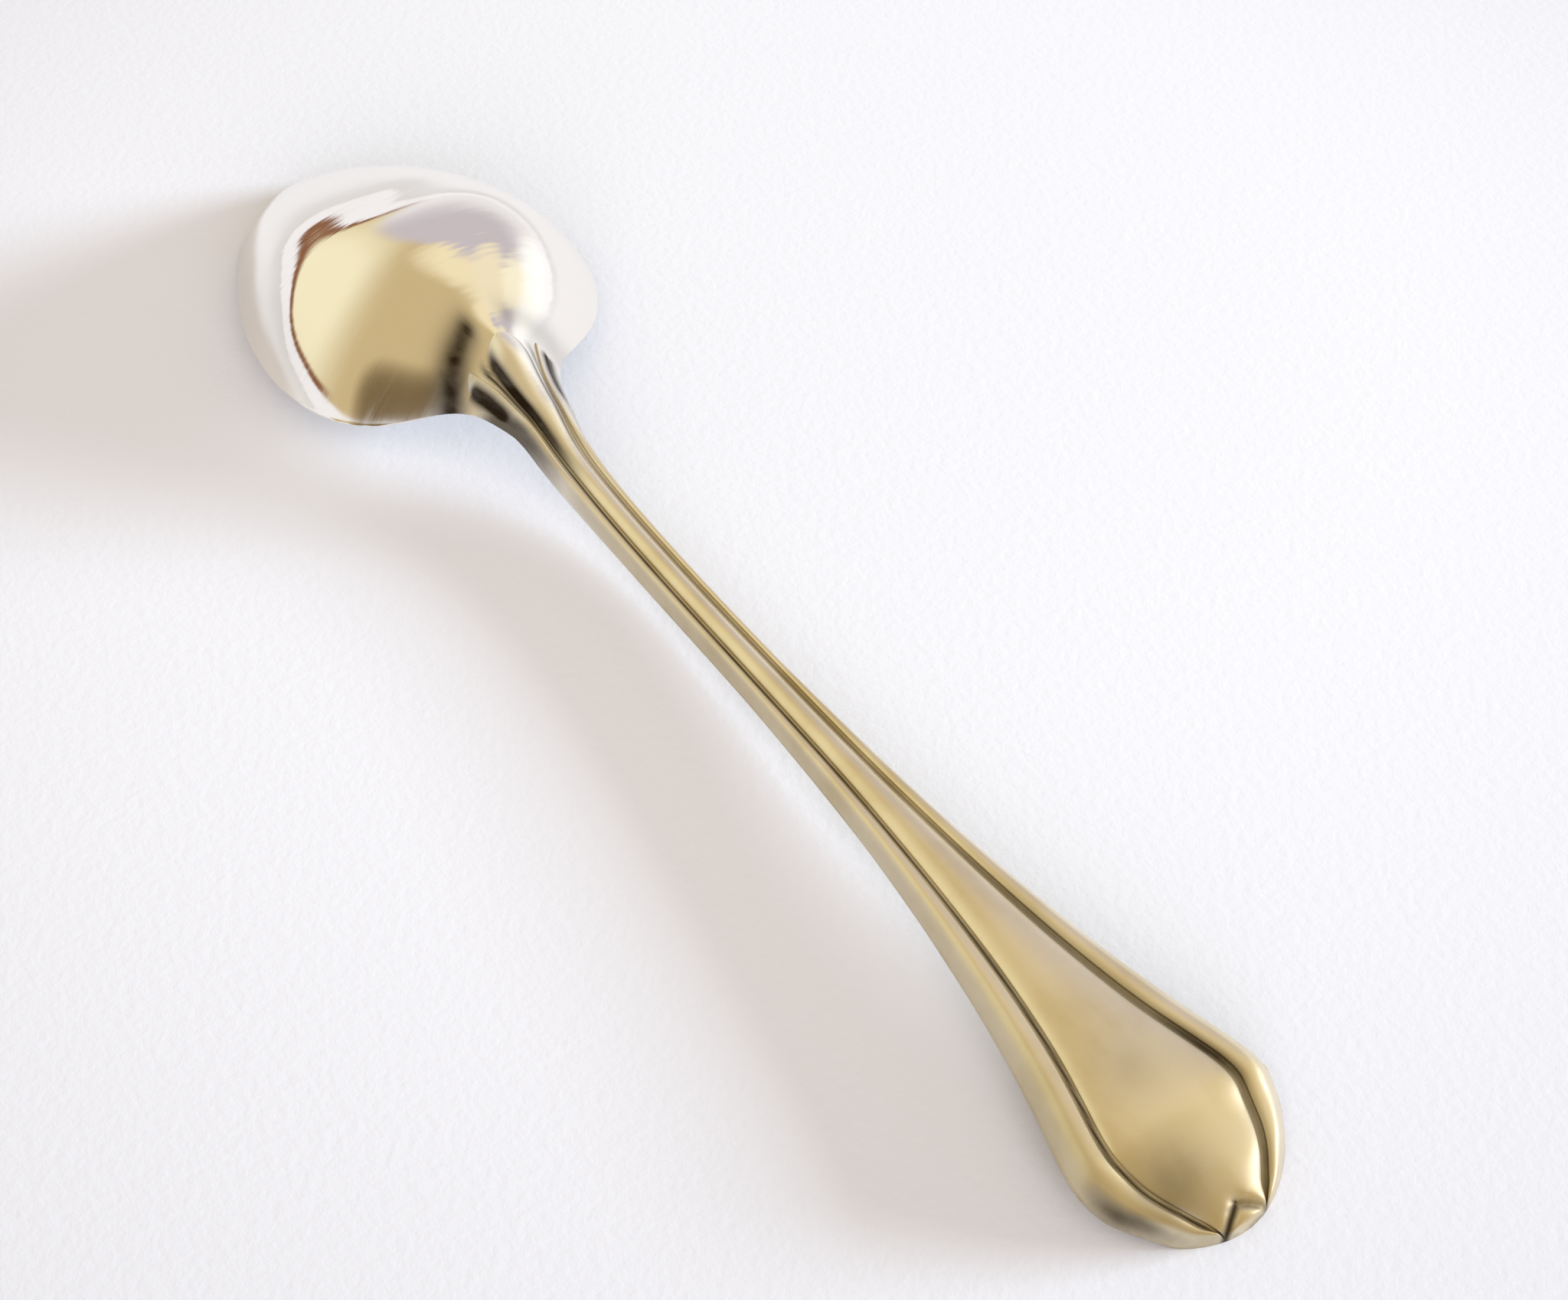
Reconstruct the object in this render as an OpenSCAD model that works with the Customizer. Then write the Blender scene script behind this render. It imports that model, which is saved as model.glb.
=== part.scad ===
// Teaspoon lying on its rim, back upwards, as it is laid on a table.
// X runs along the spoon from the bowl to the handle, and Z is up. The origin is on the table, under
// the middle of the spoon's length. Places along the spoon are measured from the tip of the bowl.
// The spoon is one forging. Each zone of it is a solid of its own, and the zones meet face to face.

/* [Spoon] */
// Length over all
spoon_l = 136; // [125:1:150]
// How far the back of the bowl runs up to the throat of the neck
bowl_l = 45; // [41:1:49]

/* [Bowl] */
// Width of the bowl at its widest
bowl_w = 32; // [28:1:36]
// Height of the dome over the rim
crown_h = 11.1; // [9.3:0.1:12.7]
// Width of the flat rim
rim_w = 1; // [0.8:0.1:1.4]
// Thickness of the bowl at its crown
bowl_t = 1.4; // [1.1:0.1:1.8]
// Rise of the rim at the widest part of the bowl
rim_rise = 2.7; // [2.1:0.1:3.3]

/* [Neck and stem] */
// Width of the stem where it is narrowest
stem_w = 4.1; // [3.6:0.1:4.8]
// Thickness of the stem under its groove
stem_t = 1.4; // [1.2:0.1:1.8]
// How far the front of the stem bulges below its edges
stem_belly = 0.8; // [0.5:0.1:1]
// Clear height under the edges of the stem
stem_rise = 1.65; // [1.4:0.05:2]
// Height of the back at the neck, over its edges
neck_t = 2.3; // [2:0.1:2.8]

/* [Handle] */
// Width of the handle at its shoulders
handle_w = 17.3; // [15.5:0.1:19]
// Thickness of the blade under its groove
blade_t = 1.5; // [1.2:0.1:1.8]
// Clear height under the edges of the blade
blade_rise = 2.2; // [1.9:0.1:2.6]
// How far the front of the blade bulges below its edges
blade_belly = 0.5; // [0.3:0.1:0.8]

/* [Raised work] */
// Width between the two grooves at their widest
panel_w = 11.3; // [10:0.1:12.3]
// Width between the two grooves on the stem
ridge_w = 2.1; // [1.9:0.1:2.3]
// Width of a groove on the stem
groove_w = 0.4; // [0.3:0.05:0.5]
// Width of a groove round the end of the handle
end_groove_w = 0.6; // [0.4:0.05:0.8]
// Height of the panel at its edges
panel_h = 0.4; // [0.3:0.05:0.6]
// Extra height of the panel along its middle
panel_crown = 0.35; // [0.2:0.05:0.5]
// Height of the thread
thread_h = 0.4; // [0.3:0.05:0.6]
// Width of the tongue that runs on to the bowl
tongue_w = 3.6; // [3:0.1:4.2]
// Height of the tongue
tongue_h = 0.7; // [0.5:0.05:0.9]
// Length of the small point at the very end of the handle
point_l = 1.5; // [1.1:0.1:2]

/* [Hidden] */

handle_l = spoon_l - bowl_l;
// Places where one zone ends and the next begins
throat_share = 0.91;
stem_start_share = 0.08;
blade_start_share = 0.52;
throat_x = bowl_l * throat_share;
stem_x = bowl_l + handle_l * stem_start_share;
blade_x = bowl_l + handle_l * blade_start_share;
// Where the tongue and the threads end on the bowl
tongue_end_share = 0.884;
thread_end_share = 0.891;
tongue_x = bowl_l * tongue_end_share;
thread_x = bowl_l * thread_end_share;
// Where the grooves start to close, and where they run out at the end of the handle
groove_close_share = 0.98;
groove_end_share = 0.997;
groove_close_x = bowl_l + handle_l * groove_close_share;
groove_end_x = bowl_l + handle_l * groove_end_share;
// The raised work stands clear of the body by a hair
seam = 0.02;
// Width of the small flat under the edge of the handle
edge_flat = 0.2;

// Half width of the bowl: place as a share of the bowl's length, width as a share of its half width
bowl_outline_shares = [
    [0, 0], [0.033, 0.345], [0.076, 0.487], [0.15, 0.637], [0.26, 0.784], [0.367, 0.904], [0.475, 0.983],
    [0.56, 1], [0.647, 0.97], [0.712, 0.907], [0.766, 0.815], [0.81, 0.692], [0.853, 0.52],
    [0.895, 0.36], [0.94, 0.268], [0.993, 0.213]
];
// Half width of the handle: place, share of the stem's half width, share of the handle's half width
handle_outline_shares = [
    [0.033, 1.31, 0], [0.071, 1.15, 0], [0.12, 1.05, 0], [0.187, 1.01, 0], [0.26, 1, 0], [0.37, 1.04, 0],
    [0.466, 0.6, 0.143], [0.563, 0.3, 0.276], [0.647, 0, 0.44], [0.722, 0, 0.557], [0.776, 0, 0.66],
    [0.819, 0, 0.76], [0.851, 0, 0.846], [0.877, 0, 0.925], [0.899, 0, 0.982], [0.913, 0, 1],
    [0.936, 0, 0.935], [0.957, 0, 0.8], [0.979, 0, 0.585], [0.993, 0, 0.335], [1, 0, 0]
];
// Height of the dome over the rim: place, share of the crown's height
bowl_crown_shares = [
    [0, 0], [0.033, 0.228], [0.089, 0.35], [0.178, 0.468], [0.289, 0.612], [0.422, 0.777], [0.56, 0.957],
    [0.645, 1], [0.733, 0.938], [0.84, 0.678], [0.915, 0.453]
];
// Height of the body over its lower edge: place, shares of the neck's, the stem's and the blade's thickness
handle_body_shares = [
    [-0.015, 1.35, 0, 0], [0.015, 0.84, 0, 0], [0.04, 0.74, 0, 0], [0.075, 0.7, 0, 0], [0.11, 0, 1.12, 0],
    [0.17, 0, 1.02, 0], [0.26, 0, 1, 0], [0.42, 0, 0.98, 0], [0.647, 0, 0, 1], [0.82, 0, 0, 1],
    [0.9, 0, 0, 1.03], [0.95, 0, 0, 0.97], [0.98, 0, 0, 0.8], [0.995, 0, 0, 0.5], [1, 0, 0, 0]
];
// Height of the lower edge: place, share of the rim's rise
bowl_edge_shares = [
    [0, 0], [0.044, 0], [0.13, 0.3], [0.26, 0.75], [0.4, 1], [0.53, 1.03], [0.62, 0.96], [0.71, 0.86],
    [0.78, 0.87], [0.833, 1.07], [0.878, 1.44], [0.916, 1.63], [0.956, 1.7]
];
// Height of the lower edge: place, shares of the rim's, the stem's and the blade's rise
handle_edge_shares = [
    [0.015, 1.7, 0, 0], [0.03, 1.53, 0, 0], [0.055, 1.13, 0, 0], [0.1, 0.78, 0, 0], [0.17, 0, 1.06, 0],
    [0.26, 0, 0.97, 0], [0.36, 0, 1.05, 0], [0.5, 0, 0, 0.9], [0.647, 0, 0, 0.98], [0.76, 0, 0, 1.02],
    [0.85, 0, 0, 1.02], [0.91, 0, 0, 0.95], [0.935, 0, 0, 0.55], [0.965, 0, 0, 0.34], [0.985, 0, 0, 0], [1, 0, 0, 0]
];
// Bulge of the front below the lower edges: place, shares of the stem's and the blade's bulge
belly_shares = [
    [0.02, 0, 0], [0.1, 0.7, 0], [0.2, 1, 0], [0.42, 1, 0], [0.6, 0, 1.2], [0.82, 0, 1], [0.92, 0, 0.5],
    [0.96, 0, 0], [1, 0, 0]
];
// Middle of a groove on the handle: place, share of the ridge's half width, share of the panel's
groove_shares = [
    [0.01, 1.2, 0], [0.045, 1.08, 0], [0.1, 0.96, 0], [0.25, 0.98, 0], [0.36, 1.03, 0], [0.47, 1.12, 0],
    [0.53, 0, 0.23], [0.58, 0, 0.265], [0.63, 0, 0.308], [0.681, 0, 0.368], [0.732, 0, 0.446],
    [0.78, 0, 0.549], [0.826, 0, 0.681], [0.873, 0, 0.872], [0.9, 0, 0.978], [0.912, 0, 1],
    [0.928, 0, 0.94], [0.945, 0, 0.865], [0.962, 0, 0.735], [0.982, 0, 0.505]
];
// Half width of the tongue: place from its end to the stem, share of its half width
tongue_shares = [
    [0, 0], [0.02, 0.53], [0.065, 0.87], [0.14, 0.99], [0.28, 0.89], [0.5, 0.72], [0.72, 0.58], [1, 0.44]
];
// Gap between groove and thread in the neck: place from the thread's end to the stem, share of the ridge
thread_spread_shares = [[0, 1.8], [0.08, 1.42], [0.25, 0.74], [0.5, 0.27], [0.72, 0.07], [1, 0]];
// Width of the thread in the neck: place from its end to the stem, share of the stem's half width
thread_width_shares = [[0, 0], [0.025, 0.28], [0.08, 0.48], [0.25, 0.5], [0.6, 0.46], [1, 0.42]];

// Power of the curve across the back. The heel of the bowl is the least full, and the handle is nearly flat.
bowl_power_shares = [[0, 3.2], [0.56, 3.2], [0.69, 2.75], [0.8, 2.05], [0.9, 1.45], [0.955, 1.9]];
handle_power_shares = [[0.011, 3], [0.044, 6], [0.08, 12], [1, 12]];
// How softly the curve across turns over its crest, as a share of the half width
crest_share = 0.2;
// How much of the outline the thread leaves free as a rounded edge
thread_reach_share = 0.985;
// Sections across the body and across the raised work
body_cells = 16;
raised_cells = 8;
// Steps along the bowl, the neck, the stem and the blade
bowl_steps = 30;
neck_steps = 12;
stem_steps = 13;
blade_steps = 32;

// Sets a table of shares out in real places and sizes
function laid(shares, start, length, sizes) = [
    for (row = shares)
        [start + row[0] * length, [for (k = [0:len(sizes) - 1]) row[k + 1] * sizes[k]] * [for (s = sizes) 1]]
];
function squared(table) = [for (row = table) [row[0], row[1] * row[1]]];

// Smooth curve through the rows of a table, with no overshoot between them
function grades(table) = [
    for (i = [0:len(table) - 2]) (table[i + 1][1] - table[i][1]) / (table[i + 1][0] - table[i][0])
];
function slope_at(grade, i) =
    i == 0 ? grade[0]
    : i == len(grade) ? grade[i - 1]
    : grade[i - 1] * grade[i] <= 0 ? 0
    : 2 * grade[i - 1] * grade[i] / (grade[i - 1] + grade[i]);
function row_before(table, x) = max(0, min(len(table) - 2, len([for (row = table) if (row[0] <= x) 1]) - 1));
function follow(table, x) =
    let (
        i = row_before(table, x),
        grade = grades(table),
        run = table[i + 1][0] - table[i][0],
        u = max(0, min(1, (x - table[i][0]) / run))
    )
    (1 + 2 * u) * pow(1 - u, 2) * table[i][1] + u * pow(1 - u, 2) * run * slope_at(grade, i)
    + u * u * (3 - 2 * u) * table[i + 1][1] - u * u * (1 - u) * run * slope_at(grade, i + 1);
function ease(u) = let (v = max(0, min(1, u))) v * v * (3 - 2 * v);
function blend(a, b, x, from, to) = a + (b - a) * ease((x - from) / (to - from));

outline_squared = squared(concat(
    laid(bowl_outline_shares, 0, bowl_l, [bowl_w / 2]),
    laid(handle_outline_shares, bowl_l, handle_l, [stem_w / 2, handle_w / 2])
));
body_squared = squared(concat(
    laid(bowl_crown_shares, 0, bowl_l, [crown_h]),
    laid(handle_body_shares, bowl_l, handle_l, [neck_t, stem_t, blade_t])
));
edge_line = concat(
    laid(bowl_edge_shares, 0, bowl_l, [rim_rise]),
    laid(handle_edge_shares, bowl_l, handle_l, [rim_rise, stem_rise, blade_rise])
);
belly_line = laid(belly_shares, bowl_l, handle_l, [stem_belly, blade_belly]);
power_line = concat(laid(bowl_power_shares, 0, bowl_l, [1]), laid(handle_power_shares, bowl_l, handle_l, [1]));
groove_line = concat(
    laid(groove_shares, bowl_l, handle_l, [ridge_w / 2, panel_w / 2]),
    [[groove_end_x, half_width(groove_end_x) * thread_reach_share]]
);
tongue_squared = squared(laid(tongue_shares, tongue_x, stem_x - tongue_x, [tongue_w / 2]));
spread_line = laid(thread_spread_shares, thread_x, stem_x - thread_x, [ridge_w / 2]);
thread_width_line = laid(thread_width_shares, thread_x, stem_x - thread_x, [stem_w / 2]);

// Sizes of the body at a place along the spoon
function half_width(x) = sqrt(max(0, follow(outline_squared, x)));
function edge_z(x) = follow(edge_line, x);
function body_h(x) = sqrt(max(0, follow(body_squared, x)));
function power_at(x) = follow(power_line, x);
// Height of a section at a share of its half width, from 1 over the middle to 0 at the sides
function crest(s, power) = pow(s * s + crest_share * crest_share, power / 2);
function arch(s, power) = (crest(1, power) - crest(s, power)) / (crest(1, power) - crest(0, power));
// Height of the back of the body at a point
function back_z(x, y) =
    let (w = half_width(x))
    edge_z(x) + (w > 0 ? body_h(x) * arch(min(1, abs(y) / w), power_at(x)) : 0);

// The hollow fades out where the bowl thickens into the neck, and so does the width of the rim
hollow_fade_share = 0.7;
mid_bowl_share = 0.5;
function neck_fade(x) = 1 - ease((x / bowl_l - hollow_fade_share) / (1 - hollow_fade_share));
function hollow_h(x) = max(0, body_h(x) - bowl_t) * neck_fade(x);
function rim_at(x) = edge_flat + (rim_w - edge_flat) * neck_fade(x);
function belly(x) = x < bowl_l ? 0 : follow(belly_line, x);
// Towards the tip the inside of the bowl is drawn in by the width of the rim
function inner_x(x) = x + rim_w * max(0, 1 - x / (bowl_l * mid_bowl_share));
function inner_w(x) =
    let (w = half_width(x))
    x < bowl_l * mid_bowl_share ? w * (1 - rim_w / (bowl_w / 2)) : max(0, w - rim_at(x));

// Steps from one side to the other, closer together towards the sides
function across(cells) = [for (j = [0:cells]) sin(90 * (2 * j / cells - 1))];
function backwards(list) = [for (j = [len(list) - 1:-1:0]) list[j]];

// One ring round the body: over the back from side to side, then home along the front
function body_ring(x) =
    let (
        side = across(body_cells),
        w = half_width(x),
        h = body_h(x),
        p = power_at(x),
        front_x = inner_x(x),
        front_w = inner_w(x),
        front_h = hollow_h(x) - belly(x),
        front_p = front_h > 0 ? p : 2
    )
    concat(
        [for (s = side) [x, s * w, edge_z(x) + h * arch(s, p)]],
        [for (s = backwards(side)) [front_x, s * front_w, edge_z(front_x) + front_h * arch(s, front_p)]]
    );

// Closed solid through rings of points. Points that coincide in the first or the last ring count as one.
least_gap = 0.0001;
function merged(ring) = [
    for (j = [0:len(ring) - 1]) min([for (k = [0:j]) if (norm(ring[k] - ring[j]) < least_gap) k])
];
function whole(faces) = [for (f = faces) if (f[0] != f[1] && f[1] != f[2] && f[2] != f[0]) f];
module loft(rings) {
    last = len(rings) - 1;
    m = len(rings[0]);
    same = [for (i = [0:last]) i == 0 || i == last ? merged(rings[i]) : [for (j = [0:m - 1]) j]];
    sides = [
        for (i = [0:last - 1])
            for (j = [0:m - 1])
                let (
                    k = (j + 1) % m,
                    a = i * m + same[i][j],
                    b = i * m + same[i][k],
                    c = (i + 1) * m + same[i + 1][k],
                    d = (i + 1) * m + same[i + 1][j]
                )
                each [[a, b, c], [a, c, d]]
    ];
    caps = [
        for (end = [0, last])
            for (j = [0:m / 2 - 2])
                let (
                    a = end * m + same[end][j],
                    b = end * m + same[end][j + 1],
                    c = end * m + same[end][m - 2 - j],
                    d = end * m + same[end][m - 1 - j]
                )
                each (end == 0 ? [[a, c, b], [a, d, c]] : [[a, b, c], [a, c, d]])
    ];
    translate([-spoon_l / 2, 0, 0])
        polyhedron(points = [for (ring = rings) each ring], faces = whole(concat(sides, caps)));
}

// Places of the sections
bowl_places = [for (i = [0:bowl_steps]) throat_x * (1 - cos(180 * i / bowl_steps)) / 2];
neck_places = [for (i = [0:neck_steps]) throat_x + (stem_x - throat_x) * i / neck_steps];
stem_places = [for (i = [0:stem_steps]) stem_x + (blade_x - stem_x) * i / stem_steps];
blade_places = [for (i = [0:blade_steps]) blade_x + (spoon_l - blade_x) * sin(90 * i / blade_steps)];
body_places = concat(neck_places, stem_places, blade_places);
// The places between two ends, each once, with closer ones over a short nose at the lower end
nose_steps = 5;
function between(low, high, nose) =
    let (
        near = [for (i = [0:nose_steps - 1]) low + nose * pow(i / nose_steps, 2)],
        far = [for (i = [0:len(body_places) - 1]) if (i == 0 || body_places[i] > body_places[i - 1]) body_places[i]],
        first = nose > 0 ? near : [low],
        gap = nose > 0 ? nose : least_gap
    )
    concat(first, [for (x = far) if (x > low + gap && x < high - least_gap) x], [high]);

// The small point at the end is marked off by two cuts that run in from where the grooves run out
point_x = spoon_l - point_l;
point_slope = half_width(groove_end_x) / (groove_end_x - point_x);
cut_depth_share = 0.8;
function cut_distance(x, y) =
    x < point_x
        ? norm([x - point_x, y])
        : abs(abs(y) - (x - point_x) * point_slope) / norm([1, point_slope]);
function kept(x, y) = 1 - cut_depth_share * exp(-pow(2 * cut_distance(x, y) / end_groove_w, 2));

// Raised work: a strip of the back between two lines, with a low wall each side and a rounded top
wall_share = 0.25;
steepest_share = 0.6;
function strip_ring(x, y0, y1, side_h, middle_h, roundness) =
    let (
        side = across(raised_cells),
        w = y1 - y0,
        side_top = min(side_h, steepest_share * w),
        middle_top = min(middle_h, steepest_share * w),
        foot = [for (s = side) let (y = y0 + w * (s + 1) / 2) [x, y, back_z(x, y) + seam]]
    )
    concat(
        [for (j = [0:raised_cells])
            let (
                s = side[j],
                rise = wall_share + (1 - wall_share) * sqrt(max(0, 1 - pow(abs(s), roundness)))
            )
            foot[j] + [0, 0, (side_top * rise + middle_top * (1 - s * s)) * kept(x, foot[j].y)]],
        backwards(foot)
    );

// Lines of the raised work
function groove_gap(x) =
    blend(groove_w, end_groove_w, x, blade_x, groove_close_x)
    * (1 - ease((x - groove_close_x) / (groove_end_x - groove_close_x)));
function ridge_half(x) =
    x < groove_end_x ? max(0, follow(groove_line, x) - groove_gap(x) / 2) : half_width(x) * thread_reach_share;
function tongue_half(x) =
    blend(sqrt(max(0, follow(tongue_squared, x))), ridge_half(x), x, (throat_x + stem_x) / 2, stem_x);
// The tongue dies away into the bowl
tongue_fade_share = 0.18;
tongue_least_share = 0.25;
function tongue_rise(x) =
    tongue_least_share
    + (1 - tongue_least_share) * ease((x - tongue_x) / (tongue_fade_share * (stem_x - tongue_x)));
function ridge_h(x) = blend(tongue_h, panel_h, x, tongue_x, stem_x) * tongue_rise(x);
function ridge_crown(x) = panel_crown * tongue_rise(x);
function thread_inner(x) = follow(groove_line, x) + groove_gap(x) / 2 + (x < stem_x ? follow(spread_line, x) : 0);
function thread_outer(x) =
    let (full = half_width(x) * thread_reach_share)
    x < stem_x
        ? blend(thread_inner(x) + follow(thread_width_line, x), full, x, (throat_x + stem_x) / 2, stem_x)
        : max(full, thread_inner(x));

// Length over which the lower end of the tongue or a thread is rounded
nose_l = 1.2;
// Fullness of the threads, the ridge and the panel across their width
thread_roundness = 2.4;
ridge_roundness = 2.2;
panel_roundness = 8;
function fullness(half) = ridge_roundness + (panel_roundness - ridge_roundness) * pow(min(1, half / (panel_w / 2)), 2);

module body(places) {
    loft([for (x = places) body_ring(x)]);
}
module raised(low, high, nose) {
    loft([for (x = between(low, high, nose))
        let (half = x < stem_x ? tongue_half(x) : ridge_half(x))
        strip_ring(x, -half, half, ridge_h(x), ridge_crown(x), fullness(half))]);
}
module thread(side) {
    loft([for (x = between(thread_x, groove_end_x, nose_l))
        let (a = side * thread_inner(x), b = side * thread_outer(x))
        strip_ring(x, min(a, b), max(a, b), thread_h, 0, thread_roundness)]);
}

module bowl() {
    color("gainsboro") body(bowl_places);
}
module neck() {
    color("burlywood") body(neck_places);
}
module stem() {
    color("tan") body(stem_places);
}
module blade() {
    color("wheat") body(blade_places);
}
module tongue() {
    color("cornsilk") raised(tongue_x, stem_x, nose_l);
}
module ridge() {
    color("palegoldenrod") raised(stem_x, blade_x, 0);
}
module panel() {
    color("khaki") raised(blade_x, spoon_l, 0);
}
module thread_left() {
    color("darkkhaki") thread(-1);
}
module thread_right() {
    color("darkkhaki") thread(1);
}

bowl();
neck();
stem();
blade();
tongue();
ridge();
panel();
thread_left();
thread_right();
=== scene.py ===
import math
import bpy
from mathutils import Matrix, Vector


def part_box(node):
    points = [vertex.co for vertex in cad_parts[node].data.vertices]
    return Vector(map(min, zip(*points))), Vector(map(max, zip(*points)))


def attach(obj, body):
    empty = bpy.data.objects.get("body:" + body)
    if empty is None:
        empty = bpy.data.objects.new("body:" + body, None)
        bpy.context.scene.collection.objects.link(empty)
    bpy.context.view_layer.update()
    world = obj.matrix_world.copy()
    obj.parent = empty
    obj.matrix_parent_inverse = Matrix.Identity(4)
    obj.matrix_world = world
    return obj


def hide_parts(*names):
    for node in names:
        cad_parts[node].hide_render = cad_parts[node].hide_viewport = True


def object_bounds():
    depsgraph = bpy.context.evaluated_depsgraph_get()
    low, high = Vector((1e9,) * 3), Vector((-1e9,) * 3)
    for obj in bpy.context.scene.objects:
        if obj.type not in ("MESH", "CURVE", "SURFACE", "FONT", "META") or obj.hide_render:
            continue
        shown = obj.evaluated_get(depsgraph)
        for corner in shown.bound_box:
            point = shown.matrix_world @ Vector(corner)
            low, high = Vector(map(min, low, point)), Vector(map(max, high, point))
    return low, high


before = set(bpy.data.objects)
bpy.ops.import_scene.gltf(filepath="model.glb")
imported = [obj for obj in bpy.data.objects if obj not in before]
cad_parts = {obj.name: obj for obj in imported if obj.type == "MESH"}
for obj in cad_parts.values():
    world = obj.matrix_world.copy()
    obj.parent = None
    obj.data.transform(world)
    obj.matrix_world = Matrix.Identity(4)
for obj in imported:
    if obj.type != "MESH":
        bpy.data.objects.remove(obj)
cad_low, cad_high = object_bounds()

# The spoon's own sizes are in millimetres, measured from the tip of the bowl, as in the CAD source
MM = 0.001

# Sizes that the frame gives
SPOON_L = (cad_high.x - cad_low.x) / MM
BOWL_W = (cad_high.y - cad_low.y) / MM
THROAT_X = (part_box("bowl")[1].x - cad_low.x) / MM
STEM_X = (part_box("neck")[1].x - cad_low.x) / MM
BLADE_X = (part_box("stem")[1].x - cad_low.x) / MM
HANDLE_W = (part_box("blade")[1].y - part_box("blade")[0].y) / MM
THROAT_SHARE = 0.91
BOWL_L = THROAT_X / THROAT_SHARE
HANDLE_L = SPOON_L - BOWL_L

# Sizes of the forging
CROWN_H = 11.1
RIM_W = 1.0
RIM_RISE = 2.7
BOWL_T = 1.4
STEM_W = 4.1
STEM_T = 1.4
STEM_RISE = 1.65
STEM_BELLY = 0.8
NECK_T = 2.3
BLADE_T = 1.5
BLADE_RISE = 2.2
BLADE_BELLY = 0.5
EDGE_FLAT = 0.2

# Sizes of the raised work
PANEL_W = 11.3
RIDGE_W = 2.1
GROOVE_W = 0.4
END_GROOVE_W = 0.6
PANEL_H = 0.4
PANEL_CROWN = 0.35
THREAD_H = 0.4
TONGUE_W = 3.6
TONGUE_H = 0.7
POINT_L = 1.5
NOSE_L = 1.2
# How far the underside of the raised work is let into the body
SINK = 0.06

# Where the tongue and the threads end on the bowl, and where the grooves start to close and run out
TONGUE_END_SHARE = 0.884
THREAD_END_SHARE = 0.891
GROOVE_CLOSE_SHARE = 0.98
GROOVE_END_SHARE = 0.997
TONGUE_X = TONGUE_END_SHARE * BOWL_L
THREAD_X = THREAD_END_SHARE * BOWL_L
GROOVE_CLOSE_X = BOWL_L + GROOVE_CLOSE_SHARE * HANDLE_L
GROOVE_END_X = BOWL_L + GROOVE_END_SHARE * HANDLE_L
# How near the raised work comes to the edge of the body
THREAD_REACH = 0.985

# Half width of the bowl: place as a share of the bowl's length, share of its half width
BOWL_OUTLINE = [
    (0, 0), (0.033, 0.345), (0.076, 0.487), (0.15, 0.637), (0.26, 0.784), (0.367, 0.904), (0.475, 0.983),
    (0.56, 1), (0.647, 0.97), (0.712, 0.907), (0.766, 0.815), (0.81, 0.692), (0.853, 0.52),
    (0.895, 0.36), (0.94, 0.268), (0.993, 0.213),
]
# Half width of the handle: place as a share of its length, shares of the stem's and of the handle's half width
HANDLE_OUTLINE = [
    (0.033, 1.31, 0), (0.071, 1.15, 0), (0.12, 1.05, 0), (0.187, 1.01, 0), (0.26, 1, 0), (0.37, 1.04, 0),
    (0.466, 0.6, 0.143), (0.563, 0.3, 0.276), (0.647, 0, 0.44), (0.722, 0, 0.557), (0.776, 0, 0.66),
    (0.819, 0, 0.76), (0.851, 0, 0.846), (0.877, 0, 0.925), (0.899, 0, 0.982), (0.913, 0, 1),
    (0.936, 0, 0.935), (0.957, 0, 0.8), (0.979, 0, 0.585), (0.993, 0, 0.335), (1, 0, 0),
]
# Height of the dome over the rim: place, share of the crown's height
BOWL_CROWN = [
    (0, 0), (0.033, 0.228), (0.089, 0.35), (0.178, 0.468), (0.289, 0.612), (0.422, 0.777), (0.56, 0.957),
    (0.645, 1), (0.733, 0.938), (0.84, 0.678), (0.915, 0.453),
]
# Height of the handle over its edges: place, shares of the neck's, the stem's and the blade's thickness
HANDLE_BODY = [
    (-0.015, 1.35, 0, 0), (0.015, 0.84, 0, 0), (0.04, 0.74, 0, 0), (0.075, 0.7, 0, 0), (0.11, 0, 1.12, 0),
    (0.17, 0, 1.02, 0), (0.26, 0, 1, 0), (0.42, 0, 0.98, 0), (0.647, 0, 0, 1), (0.82, 0, 0, 1),
    (0.9, 0, 0, 1.03), (0.95, 0, 0, 0.97), (0.98, 0, 0, 0.8), (0.995, 0, 0, 0.5), (1, 0, 0, 0),
]
# Height of the lower edge over the table: place, share of the rim's rise
BOWL_EDGE = [
    (0, 0), (0.044, 0), (0.13, 0.3), (0.26, 0.75), (0.4, 1), (0.53, 1.03), (0.62, 0.96), (0.71, 0.86),
    (0.78, 0.87), (0.833, 1.07), (0.878, 1.44), (0.916, 1.63), (0.956, 1.7),
]
# The same along the handle: place, shares of the rim's, the stem's and the blade's rise
HANDLE_EDGE = [
    (0.015, 1.7, 0, 0), (0.03, 1.53, 0, 0), (0.055, 1.13, 0, 0), (0.1, 0.78, 0, 0), (0.17, 0, 1.06, 0),
    (0.26, 0, 0.97, 0), (0.36, 0, 1.05, 0), (0.5, 0, 0, 0.9), (0.647, 0, 0, 0.98), (0.76, 0, 0, 1.02),
    (0.85, 0, 0, 1.02), (0.91, 0, 0, 0.95), (0.935, 0, 0, 0.55), (0.965, 0, 0, 0.34), (0.985, 0, 0, 0),
    (1, 0, 0, 0),
]
# How far the front bulges below the edges: place, shares of the stem's and of the blade's bulge
BELLY = [
    (0.02, 0, 0), (0.1, 0.7, 0), (0.2, 1, 0), (0.42, 1, 0), (0.6, 0, 1.2), (0.82, 0, 1), (0.92, 0, 0.5),
    (0.96, 0, 0), (1, 0, 0),
]
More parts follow.
